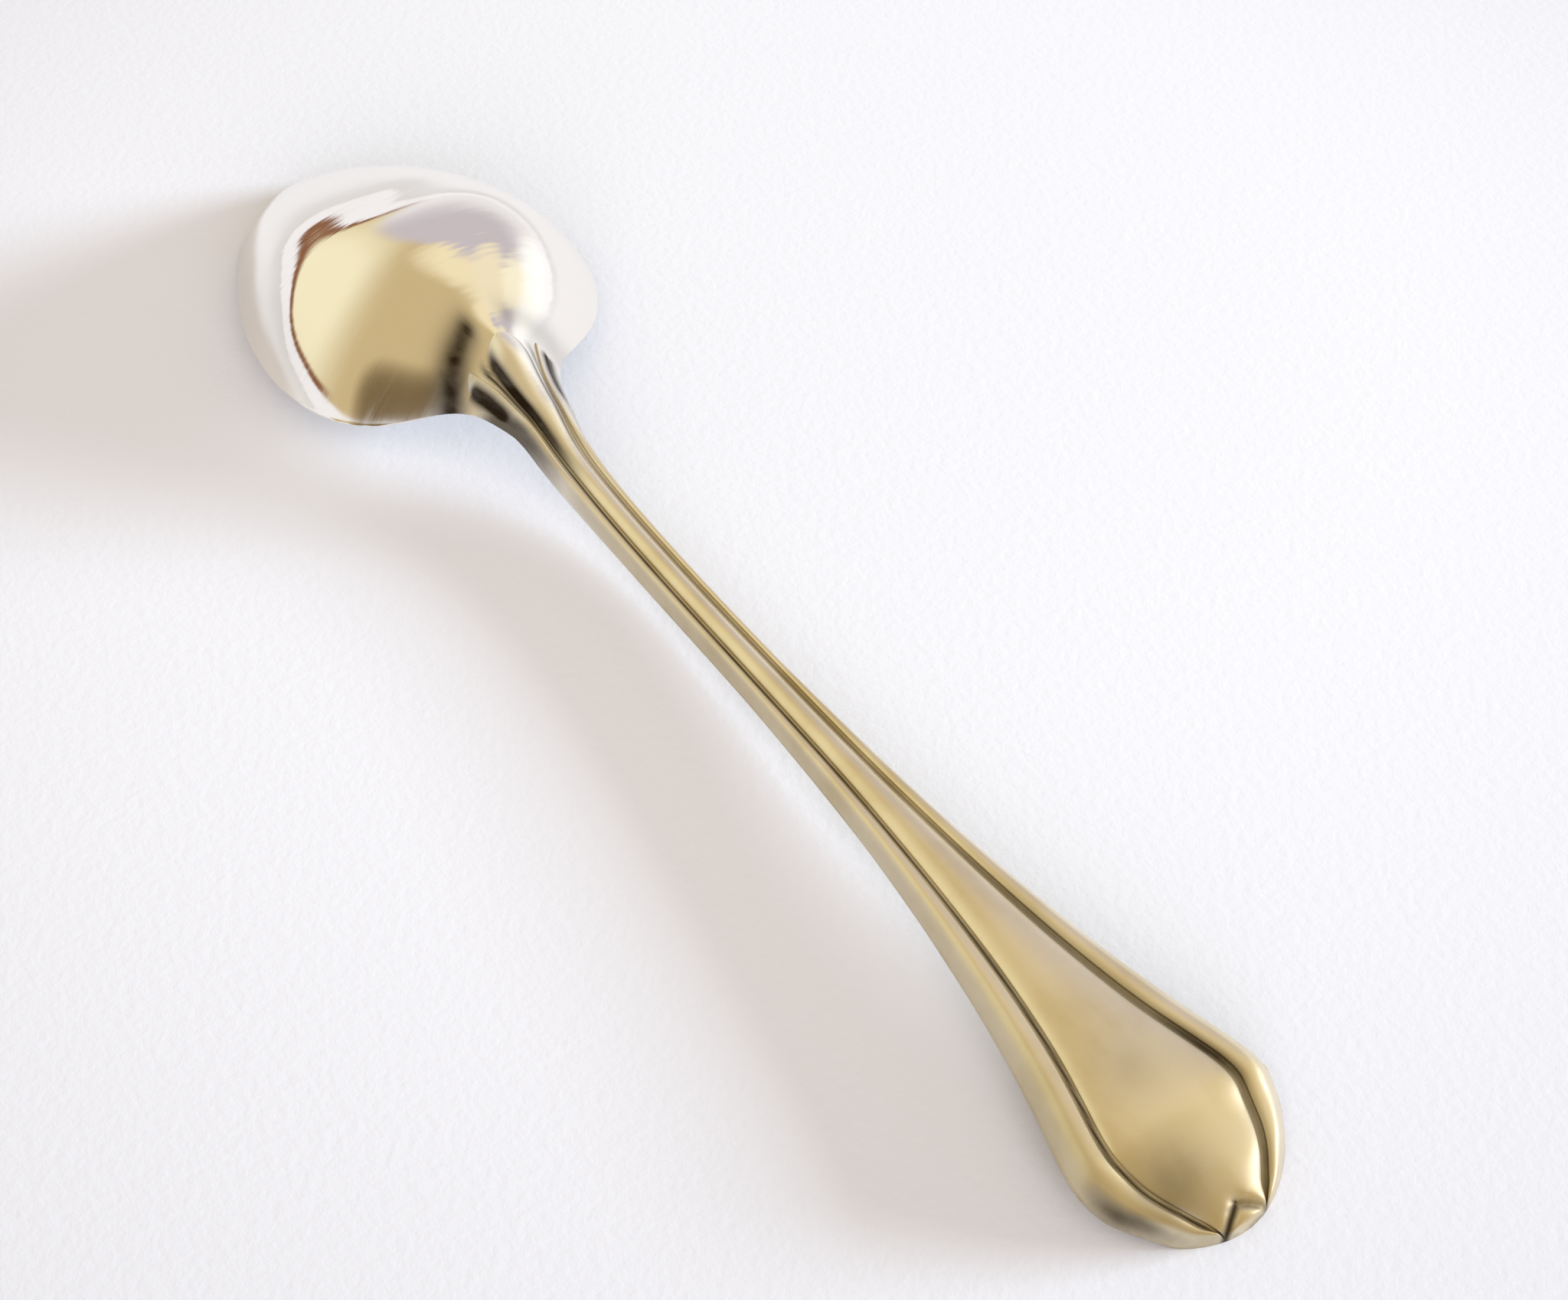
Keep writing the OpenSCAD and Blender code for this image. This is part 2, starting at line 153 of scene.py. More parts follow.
# Middle of a groove: place, shares of the ridge's and of the panel's half width
GROOVES = [
    (0.01, 1.2, 0), (0.045, 1.08, 0), (0.1, 0.96, 0), (0.25, 0.98, 0), (0.36, 1.03, 0), (0.47, 1.12, 0),
    (0.53, 0, 0.23), (0.58, 0, 0.265), (0.63, 0, 0.308), (0.681, 0, 0.368), (0.732, 0, 0.446),
    (0.78, 0, 0.549), (0.826, 0, 0.681), (0.873, 0, 0.872), (0.9, 0, 0.978), (0.912, 0, 1),
    (0.928, 0, 0.94), (0.945, 0, 0.865), (0.962, 0, 0.735), (0.982, 0, 0.505),
]
# Powers of the curve across the back
BOWL_POWER = [(0, 3.2), (0.56, 3.2), (0.69, 2.75), (0.8, 2.05), (0.9, 1.45), (0.955, 1.9)]
HANDLE_POWER = [(0.011, 3), (0.044, 6), (0.08, 12), (1, 12)]
# From an end on the bowl to the stem: the tongue's half width, the gap beside a thread and the thread's width
TONGUE = [(0, 0), (0.02, 0.53), (0.065, 0.87), (0.14, 0.99), (0.28, 0.89), (0.5, 0.72), (0.72, 0.58), (1, 0.44)]
THREAD_SPREAD = [(0, 1.8), (0.08, 1.42), (0.25, 0.74), (0.5, 0.27), (0.72, 0.07), (1, 0)]
THREAD_WIDTH = [(0, 0), (0.025, 0.28), (0.08, 0.48), (0.25, 0.5), (0.6, 0.46), (1, 0.42)]


def laid(shares, start, length, sizes):
    """A table of shares set out in real places and sizes."""
    return [(start + row[0] * length, sum(a * b for a, b in zip(row[1:], sizes))) for row in shares]


def squared(table):
    return [(x, v * v) for x, v in table]


def curve(table):
    """A smooth curve through the rows of a table, with no overshoot between them."""
    grade = [(b[1] - a[1]) / (b[0] - a[0]) for a, b in zip(table, table[1:])]

    def slope(i):
        if i == 0 or i == len(grade):
            return grade[min(i, len(grade) - 1)]
        a, b = grade[i - 1], grade[i]
        return 0 if a * b <= 0 else 2 * a * b / (a + b)

    slopes = [slope(i) for i in range(len(table))]

    def at(x):
        i = max(0, min(len(table) - 2, sum(row[0] <= x for row in table) - 1))
        run = table[i + 1][0] - table[i][0]
        u = max(0, min(1, (x - table[i][0]) / run))
        low = (1 + 2 * u) * (1 - u) ** 2 * table[i][1] + u * (1 - u) ** 2 * run * slopes[i]
        return low + u * u * (3 - 2 * u) * table[i + 1][1] - u * u * (1 - u) * run * slopes[i + 1]

    return at


def ramp(x, start, end):
    """0 at the start and 1 at the end, with a soft turn at both; the end may also be the lower place."""
    v = max(0, min(1, (x - start) / (end - start)))
    return v * v * (3 - 2 * v)


def blend(a, b, x, start, end):
    return a + (b - a) * ramp(x, start, end)


outline_sq = curve(squared(
    laid(BOWL_OUTLINE, 0, BOWL_L, [BOWL_W / 2])
    + laid(HANDLE_OUTLINE, BOWL_L, HANDLE_L, [STEM_W / 2, HANDLE_W / 2])
))
body_sq = curve(squared(
    laid(BOWL_CROWN, 0, BOWL_L, [CROWN_H]) + laid(HANDLE_BODY, BOWL_L, HANDLE_L, [NECK_T, STEM_T, BLADE_T])
))
edge_z = curve(
    laid(BOWL_EDGE, 0, BOWL_L, [RIM_RISE])
    + laid(HANDLE_EDGE, BOWL_L, HANDLE_L, [RIM_RISE, STEM_RISE, BLADE_RISE])
)
belly_line = curve(laid(BELLY, BOWL_L, HANDLE_L, [STEM_BELLY, BLADE_BELLY]))
power_at = curve(laid(BOWL_POWER, 0, BOWL_L, [1]) + laid(HANDLE_POWER, BOWL_L, HANDLE_L, [1]))


def half_width(x):
    return math.sqrt(max(0, outline_sq(x)))


def body_h(x):
    return math.sqrt(max(0, body_sq(x)))


groove_y = curve(
    laid(GROOVES, BOWL_L, HANDLE_L, [RIDGE_W / 2, PANEL_W / 2])
    + [(GROOVE_END_X, half_width(GROOVE_END_X) * THREAD_REACH)]
)
tongue_sq = curve(squared(laid(TONGUE, TONGUE_X, STEM_X - TONGUE_X, [TONGUE_W / 2])))
spread_line = curve(laid(THREAD_SPREAD, THREAD_X, STEM_X - THREAD_X, [RIDGE_W / 2]))
thread_w_line = curve(laid(THREAD_WIDTH, THREAD_X, STEM_X - THREAD_X, [STEM_W / 2]))

# How softly the curve across turns over its crest, as a share of the half width
CREST_SHARE = 0.2


def arch(s, power):
    """Height of a section at a share of its half width, from 1 over the middle to 0 at the sides."""
    crest, top, foot = [(u * u + CREST_SHARE * CREST_SHARE) ** (power / 2) for u in (s, 0, 1)]
    return (foot - crest) / (foot - top)


def back_z(x, y):
    """Height of the back of the plain body."""
    w = half_width(x)
    return edge_z(x) + (body_h(x) * arch(min(1, abs(y) / w), power_at(x)) if w > 0 else 0)


# Where the hollow of the bowl starts to fade out towards the neck
HOLLOW_FADE_SHARE = 0.7


def hollow_left(x):
    """Share of the hollow's depth and of the rim's width that is left at a place."""
    return 1 - ramp(x / BOWL_L, HOLLOW_FADE_SHARE, 1)


def inner_x(x):
    """Towards the tip the hollow of the bowl is drawn in by the width of the rim."""
    return x + RIM_W * max(0, 1 - x / (BOWL_L / 2))


def inner_w(x):
    if x < BOWL_L / 2:
        return half_width(x) * (1 - RIM_W / (BOWL_W / 2))
    return max(0, half_width(x) - EDGE_FLAT - (RIM_W - EDGE_FLAT) * hollow_left(x))


def across(cells):
    """Steps from one side to the other, closer together towards the sides."""
    return [math.sin(math.pi / 2 * (2 * j / cells - 1)) for j in range(cells + 1)]


def steps(start, end, count, bend=lambda u: u):
    return [start + (end - start) * bend(i / count) for i in range(count + 1)]


def closer_at_ends(u):
    return (1 - math.cos(math.pi * u)) / 2


def closer_at_last(u):
    return math.sin(math.pi / 2 * u)


# Places of the sections along the body, closer together at both tips, and cells across its back
BOWL_PLACES = steps(0, THROAT_X, 32, closer_at_ends)
NECK_PLACES = steps(THROAT_X, STEM_X, 12)
STEM_PLACES = steps(STEM_X, BLADE_X, 14)
BLADE_PLACES = steps(BLADE_X, SPOON_L, 34, closer_at_last)
HANDLE_PLACES = NECK_PLACES + STEM_PLACES[1:] + BLADE_PLACES[1:]
BODY_CELLS = 20


def body_ring(x):
    """A section of the body: over the back from side to side, then home along the front."""
    side = across(BODY_CELLS)
    power = power_at(x)
    front_x = inner_x(x)
    belly = belly_line(x) if x >= BOWL_L else 0
    front_h = max(0, body_h(x) - BOWL_T) * hollow_left(x) - belly
    front_power = power if front_h > 0 else 2
    back = [(x, s * half_width(x), edge_z(x) + body_h(x) * arch(s, power)) for s in side]
    front = [
        (front_x, s * inner_w(x), edge_z(front_x) + front_h * arch(s, front_power))
        for s in reversed(side)
    ]
    return back + front


# The small point at the end of the handle is marked off by two cuts
POINT_X = SPOON_L - POINT_L
POINT_SLOPE = half_width(GROOVE_END_X) / (GROOVE_END_X - POINT_X)
CUT_DEPTH_SHARE = 0.8


def kept(x, y):
    """Share of the raised work's height that the two cuts leave."""
    if x < POINT_X:
        gap = math.hypot(x - POINT_X, y)
    else:
        gap = abs(abs(y) - (x - POINT_X) * POINT_SLOPE) / math.hypot(1, POINT_SLOPE)
    return 1 - CUT_DEPTH_SHARE * math.exp(-((2 * gap / END_GROOVE_W) ** 2))


def groove_gap(x):
    """Width of a groove, which closes at the end of the handle."""
    closing = 1 - ramp(x, GROOVE_CLOSE_X, GROOVE_END_X)
    return blend(GROOVE_W, END_GROOVE_W, x, BLADE_X, GROOVE_CLOSE_X) * closing


def centre_half(x):
    """Half width of the tongue, the ridge or the panel."""
    if x >= GROOVE_END_X:
        return half_width(x) * THREAD_REACH
    ridge = max(0, groove_y(x) - groove_gap(x) / 2)
    if x >= STEM_X:
        return ridge
    return blend(math.sqrt(max(0, tongue_sq(x))), ridge, x, (THROAT_X + STEM_X) / 2, STEM_X)


# The tongue starts low, and reaches its full height in this share of its length
TONGUE_LEAST_SHARE = 0.25
TONGUE_FADE_SHARE = 0.18


def tongue_rise(x):
    full_x = TONGUE_X + TONGUE_FADE_SHARE * (STEM_X - TONGUE_X)
    return blend(TONGUE_LEAST_SHARE, 1, x, TONGUE_X, full_x)


def centre_h(x):
    return blend(TONGUE_H, PANEL_H, x, TONGUE_X, STEM_X) * tongue_rise(x)


def thread_inner(x):
    return groove_y(x) + groove_gap(x) / 2 + (spread_line(x) if x < STEM_X else 0)


def thread_outer(x):
    full = half_width(x) * THREAD_REACH
    if x >= STEM_X:
        return max(full, thread_inner(x))
    return blend(thread_inner(x) + thread_w_line(x), full, x, (THROAT_X + STEM_X) / 2, STEM_X)


RAISED_CELLS = 12
# Share of a strip's height at which its rounded top starts, and how high a narrow strip may be for its width
WALL_SHARE = 0.25
STEEPEST_SHARE = 0.6
# Powers of the rounded top: of the threads, of a narrow tongue or ridge, and of the broad panel
THREAD_POWER = 2.4
NARROW_POWER = 2.2
PANEL_POWER = 8.0


def strip_top(s, power):
    """Height of a strip at a share of its half width, from 1 over the middle to its walls at the sides."""
    return WALL_SHARE + (1 - WALL_SHARE) * math.sqrt(max(0, 1 - abs(s) ** power))


def strip_ring(x, y0, y1, height, crown, rise):
    """A section of a raised strip between two lines: over its top, then home just inside the body."""
    w = y1 - y0
    side_top = min(height, STEEPEST_SHARE * w)
    middle_top = min(crown, STEEPEST_SHARE * w)
    feet = [(s, y0 + w * (s + 1) / 2) for s in across(RAISED_CELLS)]
    top = [
        (x, y, back_z(x, y) + (side_top * rise(s) + middle_top * (1 - s * s)) * kept(x, y))
        for s, y in feet
    ]
    return top + [(x, y, max(0, back_z(x, y) - SINK)) for s, y in reversed(feet)]


def centre_ring(x):
    """A section of the tongue, the ridge or the panel, squarer where it is broad."""
    half = centre_half(x)
    power = NARROW_POWER + (PANEL_POWER - NARROW_POWER) * min(1, half / (PANEL_W / 2)) ** 2
    return strip_ring(
        x, -half, half, centre_h(x), PANEL_CROWN * tongue_rise(x), lambda s: strip_top(s, power),
    )


def thread_ring(side):
    """Sections of one thread, which has two walls on the bowl and rounds off into the edge on the stem."""
    def ring(x):
        soft = ramp(x, THREAD_X, STEM_X)

        def rise(s):
            wall = strip_top(s, THREAD_POWER)
            if s * side <= 0:
                return wall
            return wall + soft * (math.cos(math.pi / 2 * abs(s)) ** 2 - wall)

        a, b = side * thread_inner(x), side * thread_outer(x)
        return strip_ring(x, min(a, b), max(a, b), THREAD_H, 0, rise)

    return ring


# Close sections over the nose of a raised strip and round the small point, how far before the point those start,
# and the least gaps before them and before the last section
NOSE_STEPS = 6
TIP_STEPS = 12
TIP_LEAD = 0.6
TIP_GAP = 0.3
LAST_GAP = 0.02


def strip_places(low, high):
    """Places of the sections of a raised strip, with closer ones over a short nose at its lower end."""
    nose = [low + NOSE_L * (i / NOSE_STEPS) ** 2 for i in range(NOSE_STEPS)]
    tip = steps(POINT_X - TIP_LEAD, SPOON_L, TIP_STEPS, closer_at_last)
    body = [x for x in HANDLE_PLACES if low + NOSE_L < x < tip[0] - TIP_GAP]
    return [x for x in nose + body + tip if x < high - LAST_GAP] + [high]


def pick(*objects):
    bpy.ops.object.select_all(action="DESELECT")
    for o in objects:
        o.select_set(True)
    bpy.context.view_layer.objects.active = objects[0]


def row_point(point):
    """A point of the spoon's own millimetres in the frame's metres."""
    return Vector((cad_low.x + point[0] * MM, point[1] * MM, point[2] * MM))


def spoon_xy(co):
    """Place along the spoon and distance from its middle line, in millimetres."""
    return (co.x - cad_low.x) / MM, co.y / MM


# Points nearer than this are one point, in a new skin and in a skin that is cut
MERGE_GAP = 0.0005 * MM
CUT_GAP = 0.00001 * MM


def loft(name, places, ring, sharp=(), crease=0.0):
    """A grid rolled into a closed skin, with each of its columns laid over the section at one place."""
    rings = [ring(x) for x in places]
    around = len(rings[0])
    bpy.ops.object.select_all(action="DESELECT")
    bpy.ops.mesh.primitive_grid_add(x_subdivisions=len(rings) - 1, y_subdivisions=around, size=2)
    skin = bpy.context.object
    skin.name = name
    lines = skin.data.attributes.new("line", "INT", "POINT")
    for v in skin.data.vertices:
        i = round((v.co.x + 1) / 2 * (len(rings) - 1))
        j = round((v.co.y + 1) / 2 * around) % around
        v.co = row_point(rings[i][j])
        lines.data[v.index].value = j
    bpy.ops.object.mode_set(mode="EDIT")
    bpy.ops.mesh.select_all(action="SELECT")
    bpy.ops.mesh.remove_doubles(threshold=MERGE_GAP)
    bpy.ops.mesh.normals_make_consistent(inside=False)
    if sharp:
        bpy.ops.mesh.select_all(action="DESELECT")
        bpy.ops.object.mode_set(mode="OBJECT")
        line = [v.value for v in skin.data.attributes["line"].data]
        for e in skin.data.edges:
            a, b = e.vertices
            e.select = line[a] == line[b] and line[a] in sharp
        bpy.ops.object.mode_set(mode="EDIT")
        bpy.ops.mesh.select_mode(type="EDGE")
        bpy.ops.transform.edge_crease(value=crease)
    bpy.ops.object.mode_set(mode="OBJECT")
    pick(skin)
    bpy.ops.object.modifier_add(type="SUBSURF")
    smoother = skin.modifiers[-1]
    smoother.levels = smoother.render_levels = 2
    bpy.ops.object.modifier_apply(modifier=smoother.name)
    bpy.ops.object.shade_smooth()
    skin.data.attributes.remove(skin.data.attributes["line"])
    return skin


# Tarnish stays where a cloth doesn't reach, in the grooves and the cuts. Other dark marks are painted reflections
# and painted shade: the dark that the curved silver would mirror from the spoon's own shadow and from dim parts of
# the room, drawn darker on the left, which mirrors the shadow. Places are in the spoon's millimetres, and shares
# are of its half width
LEFT, RIGHT = 0, 1


def mound(value, middle, half):
    """1 at the middle, falling to a third at one half width away and then to nothing."""
    return math.exp(-(((value - middle) / half) ** 2))


# Painted reflection along the arc where the dome turns up into the neck, the dark that the concave turn would
# mirror: its middle, its half axes and how broad its line is as a share of them, how far to the side it starts and
# is full, its fade towards the middle, and how dark it is, left and right
ARC_X = 43
ARC_HALF_L, ARC_HALF_W, ARC_SOFT = 5.4, 6.6, 0.26
ARC_START, ARC_FULL = 0.6, 2
ARC_FADE = 2
ARC_DARK = (1.02, 0.25)


def arc_painted_reflection(x, side, hand):
    arc = math.hypot((x - ARC_X) / ARC_HALF_L, side / ARC_HALF_W)
    reach = ramp(side, ARC_START, ARC_FULL) * ramp(x, ARC_X, ARC_X - ARC_FADE)
    return mound(arc, 1, ARC_SOFT) * reach * ARC_DARK[hand]


# How far behind the tongue's end the marks along its foot and in the grooves grow to full, and where the painted
# shade of the neck starts to fade and ends
FADE_IN_L = 2
NECK_SHADE_FADE_X, NECK_SHADE_END_X = STEM_X - 5, STEM_X + 3
# Painted reflection along the foot of the tongue, whose flank would mirror dark: how far inside its edge, the
# line's half width and how dark it is, left and right
FOOT_IN = 0.15
FOOT_HALF = (0.4, 0.22)
FOOT_DARK = (1.15, 0.7)
# Painted reflection low on the flanks of the neck, which would mirror the shadowed paper: the shares and places
# over which it grows, and how dark it is, left and right
FLANK_SHARES, FLANK_PLACES = (0.6, 0.85), (41.5, 44)
FLANK_DARK = (0.85, 0.3)
# Painted shade in the hollow beside the end of each thread: how far inside its edge, the line's half width, the
# places over which it grows, those from where it is gone back to where it is full, and how dark it is
BESIDE_IN, BESIDE_HALF = 0.1, 0.5
BESIDE_GROWS, BESIDE_GONE = (40.6, 41.4), (48, 44)
BESIDE_DARK = 1.2


# Painted shade and painted reflections on the neck
def neck_painted_shade(x, side, share, hand):
    foot = mound(side, centre_half(x) - FOOT_IN, FOOT_HALF[hand]) * ramp(x, TONGUE_X, TONGUE_X + FADE_IN_L)
    flank = ramp(share, *FLANK_SHARES) * ramp(x, *FLANK_PLACES)
    beside = mound(side, thread_outer(x) - BESIDE_IN, BESIDE_HALF)
    beside *= ramp(x, *BESIDE_GROWS) * ramp(x, *BESIDE_GONE)
    neck_shaded = ramp(x, NECK_SHADE_END_X, NECK_SHADE_FADE_X)
    return max(foot * neck_shaded * FOOT_DARK[hand], flank * neck_shaded * FLANK_DARK[hand], beside * BESIDE_DARK)


# Along a groove: the line's half width as a share of the gap, what is added to it over these places, left and
# right, its least half width, and how dark it is, left and right
LINE_SHARE, LINE_ADDED, LINE_PLACES = 0.2, (0.2, 0.65), (92, 114)
LINE_LEAST = 0.13
LINE_DARK = (1, 0.68)
# The darkest part of the right groove: its middle, its half length and what is added there
STAIN_X, STAIN_HALF, STAIN_DARK = 125.3, 3.2, 0.32


def groove_tarnish(x, side, hand):
    low, high = centre_half(x), thread_inner(x)
    half = (LINE_SHARE + LINE_ADDED[hand] * ramp(x, *LINE_PLACES)) * (high - low)
    worst = LINE_DARK[hand] + (STAIN_DARK * mound(x, STAIN_X, STAIN_HALF) if hand == RIGHT else 0)
    return mound(side, (low + high) / 2, max(LINE_LEAST, half)) * ramp(x, TONGUE_X, TONGUE_X + FADE_IN_L) * worst


# Painted reflection of the spoon's own shadow on the left shoulder of the handle: its middle and half length, its
# share and how soft it is, how dark
SHOULDER_X, SHOULDER_HALF = 131.2, 3.2
SHOULDER_SHARE, SHOULDER_SOFT = 0.93, 0.08
SHOULDER_DARK = 0.85
# Painted reflection of the shadowed paper on the outer side of the left thread: the shares and places over which
# it grows, and how dark it is
EDGE_SHARES, EDGE_PLACES = (0.7, 0.9), (50, 56)
EDGE_DARK = 0.25


def left_edge_painted_reflection(x, share):
    stain = mound(x, SHOULDER_X, SHOULDER_HALF) * mound(share, SHOULDER_SHARE, SHOULDER_SOFT)
    return max(stain * SHOULDER_DARK, ramp(share, *EDGE_SHARES) * ramp(x, *EDGE_PLACES) * EDGE_DARK)


# Painted reflection of the spoon's own shadow, greying the rim of the bowl: the shares and places over which it
# grows, and how dark it is, left and right
RIM_SHADOW_SHARES, RIM_SHADOW_PLACES = (0.7, 0.95), (34, 14)
RIM_SHADOW_DARK = (0.2, 0.08)
# Darker patches near the end of the handle: place along and across, half length along and across, and how dark
DARK_PATCHES = [(131.6, -3.2, 2.8, 3.2, 0.5), (123.5, -0.6, 2.4, 2, 0.2)]
# In the cuts of the small point: how far before it they start, and how dark they are, left and right
CUT_LEAD = 0.8
CUT_DARK = (1.2, 0.7)
# Least half width that a share is taken of, at the very tips
LEAST_HALF = 0.1


def tarnish_and_shade_at(x, y):
    """How dark the silver is drawn at a place, by tarnish and by painted shade, from 0 where it is bright to 1."""
    side = abs(y)
    hand = LEFT if y < 0 else RIGHT
    share = side / max(LEAST_HALF, half_width(x))
    dark = [arc_painted_reflection(x, side, hand), ramp(share, *RIM_SHADOW_SHARES) * ramp(x, *RIM_SHADOW_PLACES) * RIM_SHADOW_DARK[hand]]
    dark += [d * mound(x, sx, half_x) * mound(y, sy, half_y) for sx, sy, half_x, half_y, d in DARK_PATCHES]
    if x > TONGUE_X:
        dark += [neck_painted_shade(x, side, share, hand), groove_tarnish(x, side, hand)]
    if x > POINT_X - CUT_LEAD:
        dark.append((1 - kept(x, y)) * CUT_DARK[hand])
    if hand == LEFT:
        dark.append(left_edge_painted_reflection(x, share))
    return min(1, max(dark))


def note_surface(skin):
    """Keeps the smooth normals and the tarnish and painted shade of a skin as attributes, for the pieces cut from
    it.
    """
    mesh = skin.data
    mesh.attributes.new("smooth_normal", "FLOAT_VECTOR", "POINT")
    mesh.attributes.new("tarnish_and_shade", "FLOAT", "POINT")
    smooth = mesh.attributes["smooth_normal"].data
    tarnish_and_shade = mesh.attributes["tarnish_and_shade"].data
    for v in mesh.vertices:
        smooth[v.index].vector = v.normal
        tarnish_and_shade[v.index].value = tarnish_and_shade_at(*spoon_xy(v.co))


def closes_cut(face):
    """A face that closes a cut looks along the spoon, and has many more corners than the skin's own."""
    return abs(face.normal.x) > 0.99 and len(face.vertices) > 8


def finished(piece):
    """Gives each corner the normal of the whole skin, except on the faces that close a cut."""
    mesh = piece.data
    smooth = mesh.attributes["smooth_normal"].data
    normals = []
    for face in mesh.polygons:
        flat = tuple(face.normal) if closes_cut(face) else None
        for i in face.vertices:
            normals.append(flat or tuple(Vector(smooth[i].vector).normalized()))
    mesh.normals_split_custom_set(normals)
    mesh.attributes.remove(mesh.attributes["smooth_normal"])
    return piece


def cut(skin, name, low, high):
    """The part of a skin between two places along the spoon, closed where it was cut."""
    pick(skin)
    bpy.ops.object.duplicate()
    piece = bpy.context.object
    piece.name = name
    for x, outer in ((low, False), (high, True)):
        if not 0 < x < SPOON_L:
            continue
        bpy.ops.object.mode_set(mode="EDIT")
        bpy.ops.mesh.select_all(action="SELECT")
        bpy.ops.mesh.bisect(
            plane_co=row_point((x, 0, 0)), plane_no=(1, 0, 0), use_fill=True,
            clear_outer=outer, clear_inner=not outer, threshold=CUT_GAP,
        )
        bpy.ops.object.mode_set(mode="OBJECT")
    return finished(piece)


# The forging is made as whole skins first, so that its curves run on from piece to piece. The body's skin stays
# crisp along the outer and the inner line of its rim
RIM_LINES = (0, BODY_CELLS, BODY_CELLS + 1, 2 * BODY_CELLS + 1)
RIM_CREASE = 0.75
body_skin = loft("body_skin", BOWL_PLACES + HANDLE_PLACES[1:], body_ring, RIM_LINES, RIM_CREASE)
centre_skin = loft("centre_skin", strip_places(TONGUE_X, SPOON_L), centre_ring)
note_surface(body_skin)
note_surface(centre_skin)

pieces = {
    "bowl": cut(body_skin, "bowl_skin", 0, THROAT_X),
    "neck": cut(body_skin, "neck_skin", THROAT_X, STEM_X),
    "stem": cut(body_skin, "stem_skin", STEM_X, BLADE_X),
    "blade": cut(body_skin, "blade_skin", BLADE_X, SPOON_L),
    "tongue": cut(centre_skin, "tongue_skin", 0, STEM_X),
    "ridge": cut(centre_skin, "ridge_skin", STEM_X, BLADE_X),
    "panel": cut(centre_skin, "panel_skin", BLADE_X, SPOON_L),
}
for node, side in (("thread_left", -1), ("thread_right", 1)):
    thread = loft(node + "_skin", strip_places(THREAD_X, GROOVE_END_X), thread_ring(side))
    note_surface(thread)
    pieces[node] = finished(thread)
for skin in (body_skin, centre_skin):
    bpy.data.objects.remove(skin)


def linear(colour):
    """A linear colour with its alpha, from sRGB hex."""
    parts = [int(colour[i:i + 2], 16) / 255 for i in (1, 3, 5)]
    return [c / 12.92 if c <= 0.04045 else ((c + 0.055) / 1.055) ** 2.4 for c in parts] + [1]


def add(tree, kind, inputs=None, **settings):
    """Adds a node with its settings, and gives its inputs a link or a value.

    An input goes by its name among the sockets in use, or by its number. A node stands for its first output in use,
    and a colour is sRGB hex.
    """
    node = tree.nodes.new(kind)
    for name, value in settings.items():
        setattr(node, name, value)
    for key, value in (inputs or {}).items():
        socket = node.inputs[key] if isinstance(key, int) else next(
            s for s in node.inputs if s.enabled and s.name == key
        )
        if isinstance(value, bpy.types.Node):
            value = next(s for s in value.outputs if s.enabled)
        if isinstance(value, bpy.types.NodeSocket):
            tree.links.new(value, socket)
        else:
            socket.default_value = linear(value) if isinstance(value, str) else value
    return node


def new_material(name):
    material = bpy.data.materials.new(name)
    material.use_nodes = True
    material.node_tree.nodes.clear()
    return material, material.node_tree


def grain(tree, place, sizes, detail=2.0, roughness=0.5):
    """Noise whose marks have the given length in millimetres along each axis."""
    scaled = add(tree, "ShaderNodeMapping", {"Vector": place, "Scale": [1 / (size * MM) for size in sizes]})
    return add(tree, "ShaderNodeTexNoise", {
        "Vector": scaled, "Scale": 1.0, "Detail": detail, "Roughness": roughness,
    })


def along(tree, place, start, end, low, high):
    """A value that changes softly between two places along the spoon."""
    x = add(tree, "ShaderNodeSeparateXYZ", {"Vector": place}).outputs["X"]
    return add(tree, "ShaderNodeMapRange", {
        "Value": x, "From Min": cad_low.x + start * MM, "From Max": cad_low.x + end * MM,
        "To Min": low, "To Max": high,
    }, interpolation_type="SMOOTHSTEP")


def spot(tree, place, centre, even, gone):
    """1 round a point of the spoon out to one distance, falling softly to 0 at a wider one."""
    apart = add(tree, "ShaderNodeVectorMath", {0: place, 1: row_point(centre)}, operation="DISTANCE")
    return add(tree, "ShaderNodeMapRange", {
        "Value": apart, "From Min": gone * MM, "From Max": even * MM,
    }, interpolation_type="SMOOTHSTEP")


# Plate that is hardly touched is nearly white, and gives way to the warm worn tones from the neck to the stem
WHITE_SILVER = "#FAF7F1"
WORN_FROM_X, WORN_TO_X = 43, 64
# Tarnish left in the hollows of old silver plate, and the painted shade drawn in the same tone: nearly black brown
# and dull
TARNISH_AND_SHADE = "#33281C"
TARNISH_ROUGH = 0.25
STREAK_ROUGH = 0.08


